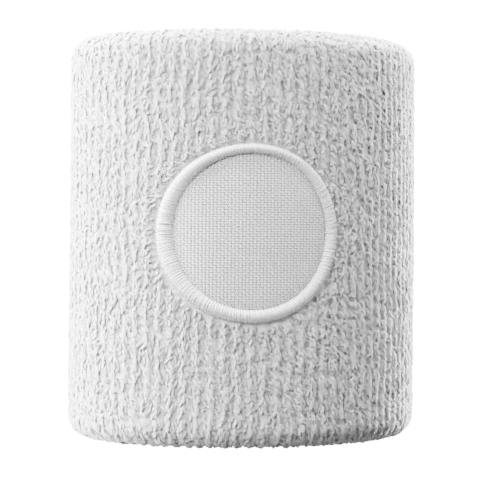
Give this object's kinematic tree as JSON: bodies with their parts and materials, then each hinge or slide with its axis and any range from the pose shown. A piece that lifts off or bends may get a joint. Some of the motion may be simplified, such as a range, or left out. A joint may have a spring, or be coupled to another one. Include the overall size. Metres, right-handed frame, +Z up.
{
  "type": "sweat wristband",
  "caption": "Tubular sweat wristband of folded white terry knit, standing on its rim, with a blank round satin-bordered patch sewn to the front.",
  "frame": {"origin": "middle of the lower rim, on the surface that the band stands on", "axes": "+Z up along the wrist bore, -Y out through the middle of the patch, +X to the right of someone facing the patch"},
  "size_m": [0.071, 0.0715, 0.08],
  "materials": {
    "terry": "matte",
    "satin_thread": "satin",
    "woven_polyester": "satin",
    "covered_elastic": "matte",
    "nonwoven_backing": "matte"
  },
  "bodies": {
    "root": {"terry_sleeve": "terry", "closing_seam_thread": "satin_thread", "elastic_yarn": "covered_elastic", "patch_disc": "woven_polyester", "patch_border": "satin_thread", "tack_down_stitch": "satin_thread", "patch_backing": "nonwoven_backing", "border_bobbin_thread": "satin_thread"}
  },
  "joints": []
}
